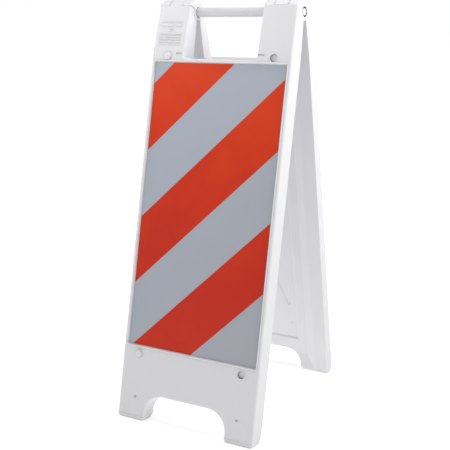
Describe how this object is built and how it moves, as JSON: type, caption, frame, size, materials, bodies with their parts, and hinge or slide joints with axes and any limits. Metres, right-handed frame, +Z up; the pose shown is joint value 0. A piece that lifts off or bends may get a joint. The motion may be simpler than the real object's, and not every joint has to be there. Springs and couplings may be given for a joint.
{
  "type": "folding traffic barricade",
  "caption": "Folding A-frame traffic barricade: hollow white leg panels hinged on a carrying tube, with diagonally striped orange and silver reflective sheets.",
  "frame": {"origin": "on the floor, under the middle of the handle tube, at the centre of the footprint", "axes": "+X across the barrier along the handle tube, -Y out of the front panel, +Z up"},
  "size_m": [0.331, 0.4576, 0.886],
  "materials": {
    "white_polyethylene": "fine moulded texture, semi-matt",
    "silver_reflective_film": "retroreflective sheeting, smooth top film",
    "orange_reflective_film": "transparent orange film over retroreflective sheeting",
    "white_tube": "extruded rigid plastic, satin",
    "white_plug": "moulded, satin"
  },
  "bodies": {
    "front_leg": {"front_leg_panel": "white_polyethylene", "front_reflective_sheet": "silver_reflective_film", "front_orange_stripes": "orange_reflective_film", "handle_tube": "white_tube", "left_end_plug": "white_plug", "right_end_plug": "white_plug"},
    "rear_leg": {"rear_leg_panel": "white_polyethylene", "rear_reflective_sheet": "silver_reflective_film", "rear_orange_stripes": "orange_reflective_film"}
  },
  "joints": [
    {"name": "leg_fold", "type": "hinge", "parent": "front_leg", "child": "rear_leg", "pos_m": [0, 0, 0.8595], "axis": [-1, 0, 0], "range_deg": [0, 24.8]}
  ]
}
